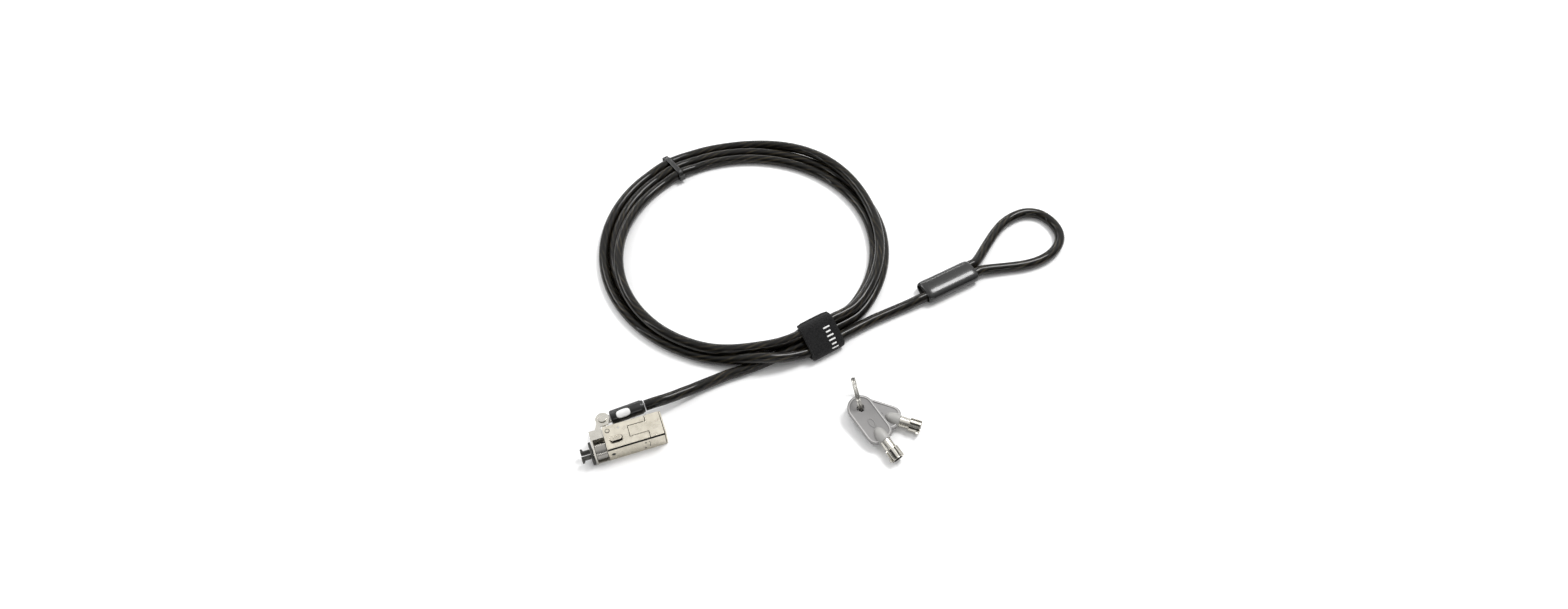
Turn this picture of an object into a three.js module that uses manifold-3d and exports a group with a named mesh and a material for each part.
// Laptop cable lock: a lock head on a swivel bracket, a vinyl-covered steel cable wound in a
// tied coil with a crimped end loop, and two tubular keys on a split ring.
// Millimetres, +Z up. The origin lies on the base cover of the lock head, +X runs from the nose
// towards the keyway, +Y towards the cable sleeve beside the head.
import * as THREE from 'three';
import { mergeVertices } from 'three/addons/utils/BufferGeometryUtils.js';
import Module from 'manifold-3d';

const wasm = await Module();
wasm.setup();

// Lock head
const HEAD_FRONT = -14.2;
const HEAD_REAR = 14.4;
const PLAIN_SIDE = -7.0;
const SLEEVE_SIDE = 5.6;
const HEAD_HEIGHT = 10.8;
const HOUSING_HEIGHT = 8.7;
const PLATE_BOTTOM = 10.1;
const LEDGE = 0.8;
const GAP = 0.3;
const NOSE_Y = -3.4;
const NOSE_Z = 5.0;
const KEY_AXIS_Y = 0.9;
const KEY_AXIS_Z = 4.75;
const BARREL_RADIUS = 3.9;
const NECK_RADIUS = 2.75;
const BRACKET_FRONT = -20.6;
const BRACKET_HEIGHT = 9.5;
const EAR_BOTTOM = 8.8;
const COLLAR_FRONT = -22.2;
const CLAW_TIP = -26.7;
const CLAW_SPREAD = 0.95;
const CLAW_TRAVEL = 0.7;
const DRIVE_TRAVEL = 1.2;
const PIN_COUNT = 5;
const PIN_RING_RADIUS = 2.5;

// Ear, sleeve and cable
const EAR_X = -12.8;
const EAR_Y = 10.9;
const SLEEVE_RADIUS = 3.5;
const SLEEVE_LENGTH = 17;
const SLEEVE_Z = 7.5;
const SLEEVE_TURN = THREE.MathUtils.degToRad(4.3);
const CABLE_RADIUS = 2.75;
const COIL_X = 87.3;
const COIL_Y = 97.8;
const COIL_RADIUS = 74.7;
const COIL_HALF_WIDTH = 8.4;
const COIL_HEIGHT = 10.6;
const STRAND_HEIGHT = 5.8;
const TIE_ANGLE = THREE.MathUtils.degToRad(-77.3);
const TIE_WIDTH = 19;
const TIE_THICKNESS = 1.2;
const CLIP_ANGLE = THREE.MathUtils.degToRad(107.2);
const CLIP_WIDTH = 3;
const CLIP_THICKNESS = 0.9;
const FERRULE_X = 183;
const FERRULE_Y = 37.2;
const FERRULE_Z = 3.6;
const FERRULE_TURN = THREE.MathUtils.degToRad(10.4);
const FERRULE_LENGTH = 32.8;
const LANE_OFFSET = 2.9;

// Keys and split ring
const RING_RADIUS = 8.5;
const RING_INNER_RADIUS = 7.4;
const RING_THICKNESS = 2.2;
const RING_CENTRE = new THREE.Vector3(108.34, -16.16, 8.67);
const RING_NORMAL = new THREE.Vector3(0.968, -0.164, 0.191).normalize();
const BOW_HALF_WIDTH = 6.6;
const BOW_THICKNESS = 2.2;
const BOW_LENGTH = 19.4;
const KEY_HOLE_RADIUS = 2.7;
const HOLE_DROP = 0.45;
const KEY_TIP = 30.4;
const SHANK_RADIUS = 2.95;
const SHANK_END_RADIUS = 3.2;
const REAR_KEY_ANGLE = THREE.MathUtils.degToRad(-39.3);
const REAR_KEY_Z = 3.5;
const FRONT_KEY_ANGLE = THREE.MathUtils.degToRad(-75.8);
const FRONT_KEY_Z = 7.9;
const FRONT_KEY_TILT = THREE.MathUtils.degToRad(13.9);

// Materials
const finish = (color, roughness, metalness) => (
  new THREE.MeshStandardMaterial({ color, roughness, metalness })
);
const champagneNickel = finish(0xb9ae98, 0.32, 0.9);
const brightNickel = finish(0xc9c6bd, 0.25, 0.95);
const darkSteel = finish(0x3b3a38, 0.35, 0.85);
const plainSteel = finish(0x9a9a96, 0.4, 0.9);
const brass = finish(0xb08d4a, 0.35, 0.9);
const springSteel = finish(0x80807c, 0.35, 0.9);
const smokyVinyl = finish(0x1b1814, 0.18, 0.1);
const blackPlastic = finish(0x101010, 0.35, 0);
const blackFabric = finish(0x141414, 0.95, 0);
const glossBlackMetal = finish(0x1c1b1a, 0.2, 0.7);
const greyPlastic = finish(0x8b8783, 0.6, 0);

const model = new THREE.Group();

function addPart(name, geometry, material, parent = model) {
  const mesh = new THREE.Mesh(geometry, material);
  mesh.name = name;
  parent.add(mesh);
  return mesh;
}

// Booleans on closed geometries
function solidOf(geometry) {
  const plain = geometry.clone();
  plain.deleteAttribute('normal');
  plain.deleteAttribute('uv');
  const merged = mergeVertices(plain, 1e-4);
  const corners = merged.index.array;
  const kept = [];
  for (let i = 0; i < corners.length; i += 3) {
    const [a, b, c] = corners.slice(i, i + 3);
    if (a !== b && b !== c && c !== a) kept.push(a, b, c);
  }
  const vertProperties = new Float32Array(merged.attributes.position.array);
  const triVerts = new Uint32Array(kept);
  return new wasm.Manifold(new wasm.Mesh({ numProp: 3, vertProperties, triVerts }));
}

function geometryOf(solid) {
  const mesh = solid.getMesh();
  const geometry = new THREE.BufferGeometry();
  geometry.setAttribute('position', new THREE.BufferAttribute(mesh.vertProperties, 3));
  geometry.setIndex(new THREE.BufferAttribute(mesh.triVerts, 1));
  geometry.computeVertexNormals();
  return geometry;
}

function join(...geometries) {
  return geometryOf(geometries.map(solidOf).reduce((a, b) => a.add(b)));
}

function cut(base, ...tools) {
  return geometryOf(tools.map(solidOf).reduce((a, b) => a.subtract(b), solidOf(base)));
}

function common(a, b) {
  return geometryOf(solidOf(a).intersect(solidOf(b)));
}

// Basic shapes, each given by its limits in the model's frame
function box(x0, x1, y0, y1, z0, z1) {
  const geometry = new THREE.BoxGeometry(x1 - x0, y1 - y0, z1 - z0);
  return geometry.translate((x0 + x1) / 2, (y0 + y1) / 2, (z0 + z1) / 2);
}

function rodAlongX(radius, x0, x1, y, z, sides = 32, endRadius = radius) {
  const geometry = new THREE.CylinderGeometry(endRadius, radius, x1 - x0, sides);
  return geometry.rotateZ(-Math.PI / 2).translate((x0 + x1) / 2, y, z);
}

function rodAlongY(radius, y0, y1, x, z, sides = 20) {
  return new THREE.CylinderGeometry(radius, radius, y1 - y0, sides).translate(x, (y0 + y1) / 2, z);
}

function rodAlongZ(radius, z0, z1, x, y, sides = 24) {
  const geometry = new THREE.CylinderGeometry(radius, radius, z1 - z0, sides);
  return geometry.rotateX(Math.PI / 2).translate(x, y, (z0 + z1) / 2);
}

function prismAlongZ(shape, z0, z1, curveSegments = 6) {
  const options = { depth: z1 - z0, bevelEnabled: false, curveSegments };
  return new THREE.ExtrudeGeometry(shape, options).translate(0, 0, z0);
}

// The shape's x becomes Y and its y becomes Z
function prismAlongX(shape, x0, x1, curveSegments = 6) {
  const options = { depth: x1 - x0, bevelEnabled: false, curveSegments };
  const geometry = new THREE.ExtrudeGeometry(shape, options);
  return geometry.rotateX(Math.PI / 2).rotateZ(Math.PI / 2).translate(x0, 0, 0);
}

function polygon(...corners) {
  return new THREE.Shape(corners.map(([x, y]) => new THREE.Vector2(x, y)));
}

function roundedRectangle(x0, x1, y0, y1, radius) {
  const shape = new THREE.Shape();
  shape.absarc(x1 - radius, y0 + radius, radius, -Math.PI / 2, 0);
  shape.absarc(x1 - radius, y1 - radius, radius, 0, Math.PI / 2);
  shape.absarc(x0 + radius, y1 - radius, radius, Math.PI / 2, Math.PI);
  shape.absarc(x0 + radius, y0 + radius, radius, Math.PI, 1.5 * Math.PI);
  return shape;
}

function regularSection(radius, sides) {
  const corners = [];
  for (let i = 0; i < sides; i += 1) {
    const angle = (2 * Math.PI * i) / sides;
    corners.push([radius * Math.cos(angle), radius * Math.sin(angle)]);
  }
  return polygon(...corners);
}

function tubeAlong(points, radius, sides, steps) {
  const path = new THREE.CatmullRomCurve3(points.map((p) => new THREE.Vector3(...p)));
  const options = { steps, extrudePath: path, bevelEnabled: false };
  return new THREE.ExtrudeGeometry(regularSection(radius, sides), options);
}

// A helical spring along X, starting at x0
class Helix extends THREE.Curve {
  constructor(radius, length, turns) {
    super();
    this.radius = radius;
    this.length = length;
    this.turns = turns;
  }

  getPoint(t, target = new THREE.Vector3()) {
    const angle = 2 * Math.PI * this.turns * t;
    const y = this.radius * Math.cos(angle);
    const z = this.radius * Math.sin(angle);
    return target.set(this.length * t, y, z);
  }
}

function spring(radius, wireRadius, length, turns) {
  const path = new Helix(radius, length, turns);
  const options = { steps: turns * 8, extrudePath: path, bevelEnabled: false };
  return new THREE.ExtrudeGeometry(regularSection(wireRadius, 4), options);
}

// Lock head housing: an open-topped block with a cylinder bore, a cam chamber, a claw pocket,
// a slider pocket and a shallow recess for the base cover
function lockHousing() {
  const rear = 13.5;
  const land = PLAIN_SIDE + LEDGE;
  const block = join(
    box(HEAD_FRONT, rear, PLAIN_SIDE, SLEEVE_SIDE, 0, HOUSING_HEIGHT),
    box(HEAD_FRONT + 0.8, rear - 0.7, land, 5.4, HOUSING_HEIGHT - 0.2, PLATE_BOTTOM - GAP),
  );
  return cut(
    block,
    rodAlongX(3.78, -3.4, rear + 1, KEY_AXIS_Y, KEY_AXIS_Z),
    rodAlongX(3.4, -7.2, -3.3, KEY_AXIS_Y, KEY_AXIS_Z),
    box(HEAD_FRONT - 1, -7.1, NOSE_Y - 3, NOSE_Y + 3, 3.0, HOUSING_HEIGHT - 1),
    box(HEAD_FRONT - 1, -7.1, land + 0.5, NOSE_Y + 3, 3.0, HEAD_HEIGHT),
    box(-12.6, -5.2, land + 0.2, -0.3, HEAD_HEIGHT - 2.3, HEAD_HEIGHT),
    box(HEAD_FRONT + 0.8, rear - 1.6, -6.0, 4.6, -1, 0.6),
    rodAlongY(1.05, -8, -6, -11.8, 4.7),
    rodAlongZ(1.0, HEAD_HEIGHT - 3.5, HEAD_HEIGHT, -12, 2.75),
  );
}

function topPlateFront() {
  const front = PLAIN_SIDE + 0.1;
  const back = SLEEVE_SIDE - 0.1;
  const outline = polygon(
    [HEAD_FRONT, front],
    [6.6, front],
    [6.6, -3.7],
    [-2.5, -3.7],
    [-2.5, 2.5],
    [6.2, 2.5],
    [6.2, back],
    [HEAD_FRONT, back],
  );
  const recess = roundedRectangle(-12.05, -5.75, -4.75, -0.85, 1.5);
  return cut(
    prismAlongZ(outline, PLATE_BOTTOM, HEAD_HEIGHT),
    prismAlongZ(recess, PLATE_BOTTOM - 1, HEAD_HEIGHT + 1),
    rodAlongZ(1.0, PLATE_BOTTOM - 1, HEAD_HEIGHT + 1, -12, 2.75),
  );
}

function topPlateRear() {
  const front = PLAIN_SIDE + 0.1;
  const back = SLEEVE_SIDE - 0.1;
  const outline = polygon(
    [-2.2, -3.4],
    [6.9, -3.4],
    [6.9, front],
    [13.5, front],
    [13.5, back],
    [6.5, back],
    [6.5, 2.2],
    [-2.2, 2.2],
  );
  return prismAlongZ(outline, PLATE_BOTTOM, HEAD_HEIGHT);
}

function rearCap() {
  const outline = roundedRectangle(PLAIN_SIDE, SLEEVE_SIDE, 0, HEAD_HEIGHT, 0.8);
  return cut(
    prismAlongX(outline, 13.8, HEAD_REAR),
    rodAlongX(3.45, 12, 15, KEY_AXIS_Y, KEY_AXIS_Z),
  );
}

function coverRivet() {
  return join(
    rodAlongZ(0.8, HEAD_HEIGHT - 3.3, HEAD_HEIGHT, -12, 2.75, 16),
    rodAlongZ(0.85, HEAD_HEIGHT - 0.3, HEAD_HEIGHT + 0.15, -12, 2.75, 16),
  );
}

// The barrel and its neck carry the claws in one straight channel
function clawChannel(x0, x1) {
  return box(x0, x1, NOSE_Y - 2.0, NOSE_Y + 2.0, NOSE_Z - 1.45, NOSE_Z + 1.45);
}

function noseBarrel() {
  const rear = HEAD_FRONT - GAP;
  const body = join(
    rodAlongX(BARREL_RADIUS, -19.5, rear, NOSE_Y, NOSE_Z, 40),
    rodAlongX(NECK_RADIUS, -20.8, -19, NOSE_Y, NOSE_Z),
    box(rear - 0.5, -12.9, NOSE_Y - 2.7, NOSE_Y + 2.7, NOSE_Z - 1.45, NOSE_Z + 1.45),
  );
  return cut(body, clawChannel(-22, -12));
}

function noseCollar() {
  const outline = roundedRectangle(NOSE_Y - 4.5, NOSE_Y + 4.5, NOSE_Z - 4.5, NOSE_Z + 4.5, 1.6);
  return cut(prismAlongX(outline, COLLAR_FRONT, -21.1), clawChannel(-23, -20));
}

// One claw: a flat bar with a wedge-faced tail, and a deeper prong with an outward flange where
// it stands out of the collar
function claw(side) {
  const spread = CLAW_SPREAD;
  const bar = polygon(
    [CLAW_TIP + 1, spread],
    [-12.6, spread],
    [-10.6, spread + 1.17],
    [-10.6, 2.75],
    [-12.3, 2.75],
    [-12.6, 1.7],
    [CLAW_TIP + 1, 1.7],
  );
  const prongRoot = COLLAR_FRONT - GAP;
  const prong = polygon(
    [CLAW_TIP, spread],
    [prongRoot, spread],
    [prongRoot, 1.95],
    [-25.4, 1.95],
    [-25.8, 3.2],
    [CLAW_TIP, 3.3],
  );
  const solid = join(prismAlongZ(bar, -1.15, 1.15), prismAlongZ(prong, -1.45, 1.45));
  if (side < 0) solid.rotateX(Math.PI);
  return solid.translate(0, NOSE_Y, NOSE_Z);
}

// The drive slider spreads the claws with a wedge and follows the face cam with a nib
function driveSlider() {
  const wedge = polygon(
    [-13.3, -0.6],
    [-12.5, -0.6],
    [-10.3, -1.92],
    [-10.3, -2.6],
    [-8.5, -2.6],
    [-8.5, 2.6],
    [-10.3, 2.6],
    [-10.3, 1.92],
    [-12.5, 0.6],
    [-13.3, 0.6],
  );
  const body = prismAlongZ(wedge, -1.1, 1.1).translate(0, NOSE_Y, NOSE_Z);
  const nibY = KEY_AXIS_Y - 2.2;
  return join(body, box(-8.7, -6.7, nibY - 0.3, nibY + 0.3, KEY_AXIS_Z - 0.3, KEY_AXIS_Z + 0.3));
}

// The face cam's end rises in equal steps round a quarter turn
function faceCam() {
  const stepCount = 6;
  const stepAngle = Math.PI / 2 / stepCount;
  const outer = 3.0;
  const base = rodAlongX(outer, -5.2, -3.3, 0, 0);
  const sectors = [];
  for (let i = 1; i <= stepCount + 1; i += 1) {
    const start = Math.PI / 2 + i * stepAngle;
    const rise = Math.min((i * DRIVE_TRAVEL) / stepCount, DRIVE_TRAVEL);
    const sector = new THREE.Shape();
    sector.moveTo(0, 0);
    sector.absarc(0, 0, outer - 0.05, start, start + stepAngle + 0.01);
    sectors.push(prismAlongX(sector, -5.2 - rise, -5.1, 2));
  }
  return join(base, ...sectors).translate(0, KEY_AXIS_Y, KEY_AXIS_Z);
}

function cylinderShell() {
  return cut(
    rodAlongX(3.62, -3.2, 12.6, KEY_AXIS_Y, KEY_AXIS_Z),
    rodAlongX(3.32, -4, 13, KEY_AXIS_Y, KEY_AXIS_Z),
  );
}

function pinPlace(index) {
  const angle = (2 * Math.PI * (index + 0.5)) / PIN_COUNT;
  const y = KEY_AXIS_Y + PIN_RING_RADIUS * Math.cos(angle);
  const z = KEY_AXIS_Z + PIN_RING_RADIUS * Math.sin(angle);
  return { y, z };
}

function lockPlug() {
  const body = join(
    rodAlongX(3.12, -3.0, 6.0, KEY_AXIS_Y, KEY_AXIS_Z),
    rodAlongX(1.85, 5, 12.4, KEY_AXIS_Y, KEY_AXIS_Z, 24),
  );
  const bores = [];
  for (let i = 0; i < PIN_COUNT; i += 1) {
    const { y, z } = pinPlace(i);
    bores.push(rodAlongX(0.55, 0.4, 7, y, z, 10));
  }
  return cut(body, ...bores);
}

function addPinsAndSprings() {
  for (let i = 0; i < PIN_COUNT; i += 1) {
    const { y, z } = pinPlace(i);
    addPart(`driver_pin_${i + 1}`, rodAlongX(0.4, 3.4, 6.8, y, z, 10), brass);
    const coil = spring(0.26, 0.09, 2.2, 3).translate(0.8, y, z);
    addPart(`pin_spring_${i + 1}`, coil, springSteel);
  }
}

function thumbSlider() {
  const outline = roundedRectangle(-11.7, -6.1, -3.5, -1.1, 1.15);
  const pad = prismAlongZ(outline, HEAD_HEIGHT - 1.3, HEAD_HEIGHT + 0.35);
  const foot = box(-12.2, -7.0, -3.95, -0.75, HEAD_HEIGHT - 1.9, HEAD_HEIGHT - 1.2);
  return join(pad, foot);
}

function thumbSpring() {
  return spring(0.33, 0.1, 1.4, 3).rotateZ(Math.PI / 2).translate(-9.6, -5.8, HEAD_HEIGHT - 1.65);
}

// Swivel bracket: end plate, back wall, top and bottom plates, and the pierced ear
function swivelBracket() {
  const rear = HEAD_FRONT - GAP;
  const ear = new THREE.Shape();
  ear.absarc(EAR_X, EAR_Y, 3.4, -0.15 * Math.PI, 1.1 * Math.PI);
  ear.lineTo(-17.6, 5.6);
  ear.lineTo(rear, 5.6);
  ear.lineTo(rear, 7.1);
  ear.lineTo(-10.6, 7.1);
  const plates = join(
    box(BRACKET_FRONT, BRACKET_FRONT + 0.8, -7.3, 6.0, 0, BRACKET_HEIGHT),
    box(BRACKET_FRONT, rear, 5.1, 6.0, 0, BRACKET_HEIGHT),
    box(BRACKET_FRONT, rear, 0.8, 6.0, EAR_BOTTOM, BRACKET_HEIGHT),
    box(BRACKET_FRONT, rear, -7.0, 6.0, 0, 0.7),
    prismAlongZ(ear, EAR_BOTTOM, BRACKET_HEIGHT, 12),
  );
  return cut(
    plates,
    rodAlongX(NECK_RADIUS + GAP, -22, -19, NOSE_Y, NOSE_Z),
    rodAlongZ(1.6, 8, 10, EAR_X, EAR_Y),
  );
}

function earRivet() {
  return join(
    rodAlongZ(1.3, 5.6, 9.9, EAR_X, EAR_Y),
    rodAlongZ(2.1, 5.3, 5.9, EAR_X, EAR_Y),
    rodAlongZ(2.1, 9.8, 10.15, EAR_X, EAR_Y),
  );
}

// Sleeve and end fitting are made along X from the ear pin, then turned about it
function addSleeve() {
  const group = new THREE.Group();
  group.position.set(EAR_X, EAR_Y, SLEEVE_Z);
  group.rotation.z = SLEEVE_TURN;
  const start = 3.9;
  const end = start + SLEEVE_LENGTH;
  const sleeve = cut(
    join(
      rodAlongX(SLEEVE_RADIUS, start, end - 1.2, 0, 0),
      rodAlongX(SLEEVE_RADIUS, end - 1.2, end, 0, 0, 32, 3.05),
    ),
    rodAlongX(2.3, start - 1, end + 1, 0, 0, 24),
  );
  addPart('cable_sleeve', sleeve, blackPlastic, group);
  const fitting = cut(
    join(
      box(0, 5, -1.8, 1.8, -1.2, 0.7),
      rodAlongZ(2.4, -1.2, 0.7, 0, 0),
      rodAlongX(1.95, 4.2, end - 1.5, 0, 0, 20),
    ),
    rodAlongZ(1.6, -3, 3, 0, 0),
  );
  addPart('cable_end_fitting', fitting, plainSteel, group);
  model.add(group);
}

// Cable: the coil is one ring, notched where the tie and the clip pass round it
function coilProfile(margin, bottom, top, crown) {
  const half = COIL_HALF_WIDTH + margin;
  const points = [
    [COIL_RADIUS - half, bottom],
    [COIL_RADIUS + half, bottom],
    [COIL_RADIUS + half, top],
    [COIL_RADIUS + crown, COIL_HEIGHT + margin],
    [COIL_RADIUS - crown, COIL_HEIGHT + margin],
    [COIL_RADIUS - half, top],
    [COIL_RADIUS - half, bottom],
  ];
  return points.map(([x, y]) => new THREE.Vector2(x, y));
}

function ring(profile, segments) {
  const geometry = new THREE.LatheGeometry(profile, segments);
  return geometry.rotateX(Math.PI / 2);
}

// A block that straddles the coil at the given angle
function straddle(angle, width, z0, z1) {
  const block = box(COIL_RADIUS - 12, COIL_RADIUS + 12, -width / 2, width / 2, z0, z1);
  return block.rotateZ(angle);
}

function cableCoil() {
  return cut(
    ring(coilProfile(0, 0, STRAND_HEIGHT, 3.4), 72),
    straddle(TIE_ANGLE, TIE_WIDTH + 2 * GAP, -1, TIE_THICKNESS + GAP),
    straddle(CLIP_ANGLE, CLIP_WIDTH + 2 * GAP, -1, CLIP_THICKNESS + GAP),
    straddle(CLIP_ANGLE, CLIP_WIDTH + 2 * GAP, STRAND_HEIGHT, COIL_HEIGHT + 1),
  ).translate(COIL_X, COIL_Y, 0);
}

function hookLoopTie() {
  const outer = ring(coilProfile(TIE_THICKNESS + GAP, 0, STRAND_HEIGHT + 1, 4), 144);
  const inner = ring(coilProfile(GAP, TIE_THICKNESS, STRAND_HEIGHT + 0.3, 3.7), 144);
  const band = cut(outer, inner);
  const slice = common(band, straddle(TIE_ANGLE, TIE_WIDTH, -1, COIL_HEIGHT + 5));
  return slice.translate(COIL_X, COIL_Y, 0);
}

function cableClip() {
  const half = COIL_HALF_WIDTH + GAP;
  const top = STRAND_HEIGHT + GAP;
  const outerHalf = half + CLIP_THICKNESS;
  const low = COIL_RADIUS - outerHalf;
  const high = COIL_RADIUS + outerHalf;
  const width = CLIP_WIDTH / 2;
  const band = cut(
    join(
      box(low, high, -width, width, 0, top + CLIP_THICKNESS),
      box(high - 0.5, high + 1.6, -1.8, 1.8, 2.4, 5.4),
    ),
    box(COIL_RADIUS - half, COIL_RADIUS + half, -3, 3, CLIP_THICKNESS, top),
  );
  return band.rotateZ(CLIP_ANGLE).translate(COIL_X, COIL_Y, 0);
}

const LEAD_ROUTE = [
  [8.45, 12.5, 7.5],
  [13, 12.9, 7.3],
  [18, 13.4, 6.6],
  [23, 14.3, 5.6],
  [28, 15.4, 4.6],
  [33, 16.4, 3.7],
  [38, 17.4, 3.1],
  [43, 18.1, 2.82],
  [48, 18.7, 2.78],
  [52.5, 19.2, 2.78],
];

const TAIL_ROUTE = [
  [135.6, 26.95, 2.78],
  [141, 27.75, 2.78],
  [147, 28.6, 2.8],
  [154, 29.5, 2.95],
  [160, 30.3, 3.25],
  [166.9, 31.4, 3.6],
];

const LOOP_ROUTE = [
  [199.05, 43.1, 3.6],
  [202.6, 43.9, 3.45],
  [206.8, 46.8, 3.05],
  [212, 51.2, 2.8],
  [218, 56.2, 2.78],
  [225, 61.6, 2.78],
  [232, 65.8, 2.78],
  [240, 68.4, 2.78],
  [247.5, 68.6, 2.78],
  [254, 65.3, 2.78],
  [257.6, 58.9, 2.78],
  [258.4, 51.5, 2.78],
  [256.3, 44.8, 2.78],
  [250.8, 39, 2.78],
  [243.5, 35.4, 2.78],
  [235.5, 33.9, 2.78],
  [227, 34.2, 2.78],
  [218, 35.8, 2.8],
  [210, 37.2, 3.1],
  [204, 37.9, 3.45],
  [200.05, 37.35, 3.6],
];

// An oval crimp with a shallow socket where the doubled-back cable ends
function crimpFerrule() {
  const half = FERRULE_LENGTH / 2;
  const body = prismAlongX(roundedRectangle(-6.2, 6.2, -3.55, 3.55, 3.5), -half, half, 8);
  const socket = rodAlongX(2.3, -half - 1, -half + 2, LANE_OFFSET, 0, 20);
  const ferrule = cut(body, socket);
  return ferrule.rotateZ(FERRULE_TURN).translate(FERRULE_X, FERRULE_Y, FERRULE_Z);
}

// Split ring: it stands on the surface and leans, passing up through both key bows
function ringUp() {
  const up = new THREE.Vector3(0, 0, 1);
  return up.addScaledVector(RING_NORMAL, -RING_NORMAL.z).normalize();
}

function ringPointAt(z) {
  const up = ringUp();
  const back = new THREE.Vector3().crossVectors(up, RING_NORMAL);
  const middle = (RING_RADIUS + RING_INNER_RADIUS) / 2;
  const rise = (z - RING_CENTRE.z) / up.z;
  const run = -Math.sqrt(middle * middle - rise * rise);
  return RING_CENTRE.clone().addScaledVector(back, run).addScaledVector(up, rise);
}

function addSplitRing() {
  const half = RING_THICKNESS / 2;
  const profile = [
    [RING_INNER_RADIUS, -half],
    [RING_RADIUS, -half],
    [RING_RADIUS, half],
    [RING_INNER_RADIUS, half],
    [RING_INNER_RADIUS, -half],
  ].map(([x, y]) => new THREE.Vector2(x, y));
  const mesh = addPart('split_ring', new THREE.LatheGeometry(profile, 48), brightNickel);
  mesh.quaternion.setFromUnitVectors(new THREE.Vector3(0, 1, 0), RING_NORMAL);
  mesh.position.copy(RING_CENTRE);
}

// Keys: the hole in the bow is at the local origin and the shank runs along +X
function keyBow() {
  const shoulder = BOW_LENGTH - 5.6;
  const outline = new THREE.Shape();
  outline.absarc(0, 0, BOW_HALF_WIDTH, Math.PI / 2, 1.5 * Math.PI);
  outline.lineTo(shoulder, -BOW_HALF_WIDTH);
  outline.quadraticCurveTo(BOW_LENGTH - 0.6, -BOW_HALF_WIDTH, BOW_LENGTH, -3.1);
  outline.lineTo(BOW_LENGTH, 3.1);
  outline.quadraticCurveTo(BOW_LENGTH - 0.6, BOW_HALF_WIDTH, shoulder, BOW_HALF_WIDTH);
  const half = BOW_THICKNESS / 2;
  return cut(
    join(
      prismAlongZ(outline, -half, half, 10),
      rodAlongX(1.6, BOW_LENGTH - 7.5, BOW_LENGTH + 0.4, 0, 0, 28, 3.3),
    ),
    rodAlongZ(KEY_HOLE_RADIUS, -3, 3, 0, 0),
    rodAlongX(1.7, BOW_LENGTH - 4, BOW_LENGTH + 2, 0, 0, 16),
  );
}

function keyShank() {
  const start = BOW_LENGTH + 0.4 + GAP;
  const slotStart = KEY_TIP - 2.4;
  const tube = join(
    rodAlongX(1.4, BOW_LENGTH - 3.6, start + 1, 0, 0, 16),
    rodAlongX(SHANK_RADIUS, start, KEY_TIP - 1, 0, 0, 28),
    rodAlongX(SHANK_END_RADIUS, KEY_TIP - 5, KEY_TIP, 0, 0, 28),
    box(KEY_TIP - 5, KEY_TIP - 3.4, -0.6, 0.6, 2, 3.5),
  );
  return cut(
    tube,
    rodAlongX(2.1, KEY_TIP - 6.4, KEY_TIP + 1, 0, 0, 24),
    box(slotStart, KEY_TIP + 1, -0.5, 0.5, 1, 4),
    box(slotStart, KEY_TIP + 1, -4, -1, -0.5, 0.5),
    box(slotStart, KEY_TIP + 1, -0.5, 0.5, -4, -1),
  );
}

function addKey(name, angle, z, tilt) {
  const group = new THREE.Group();
  group.position.copy(ringPointAt(z - HOLE_DROP));
  group.position.z = z;
  const turn = new THREE.Quaternion().setFromAxisAngle(new THREE.Vector3(0, 0, 1), angle);
  const leanAxis = new THREE.Vector3(Math.cos(REAR_KEY_ANGLE), Math.sin(REAR_KEY_ANGLE), 0);
  const lean = new THREE.Quaternion().setFromAxisAngle(leanAxis, tilt);
  group.quaternion.multiplyQuaternions(lean, turn);
  addPart(`${name}_bow`, keyBow(), greyPlastic, group);
  addPart(`${name}_shank`, keyShank(), brightNickel, group);
  model.add(group);
}

function addLockHead() {
  addPart('lock_housing', lockHousing(), champagneNickel);
  addPart('base_cover', box(-13.1, 11.6, -5.7, 4.3, 0, 0.4), plainSteel);
  addPart('top_plate_front', topPlateFront(), champagneNickel);
  addPart('top_plate_rear', topPlateRear(), champagneNickel);
  addPart('rear_cap', rearCap(), champagneNickel);
  addPart('cover_rivet', coverRivet(), champagneNickel);
  addPart('side_pin', rodAlongY(0.85, -7.1, -6.45, -11.8, 4.7), plainSteel);
  addPart('nose_barrel', noseBarrel(), brightNickel);
  addPart('nose_collar', noseCollar(), darkSteel);
  addPart('cylinder_shell', cylinderShell(), brass);
}

function addMechanism() {
  addPart('claw_rear', claw(1), darkSteel);
  addPart('claw_front', claw(-1), darkSteel);
  addPart('drive_slider', driveSlider(), plainSteel);
  addPart('face_cam', faceCam(), plainSteel);
  addPart('lock_plug', lockPlug(), brightNickel);
  addPinsAndSprings();
  addPart('thumb_slider', thumbSlider(), champagneNickel);
  addPart('thumb_spring', thumbSpring(), springSteel);
}

function addCable() {
  addSleeve();
  addPart('cable_lead', tubeAlong(LEAD_ROUTE, CABLE_RADIUS, 12, 14), smokyVinyl);
  addPart('cable_coil', cableCoil(), smokyVinyl);
  addPart('cable_tail', tubeAlong(TAIL_ROUTE, CABLE_RADIUS, 12, 8), smokyVinyl);
  addPart('cable_loop', tubeAlong(LOOP_ROUTE, CABLE_RADIUS, 12, 36), smokyVinyl);
  addPart('hook_loop_tie', hookLoopTie(), blackFabric);
  addPart('cable_clip', cableClip(), blackPlastic);
  addPart('crimp_ferrule', crimpFerrule(), glossBlackMetal);
}

addLockHead();
addMechanism();
addPart('swivel_bracket', swivelBracket(), brightNickel);
addPart('ear_rivet', earRivet(), brightNickel);
addCable();
addSplitRing();
addKey('key_rear', REAR_KEY_ANGLE, REAR_KEY_Z, 0);
addKey('key_front', FRONT_KEY_ANGLE, FRONT_KEY_Z, FRONT_KEY_TILT);

export default model;
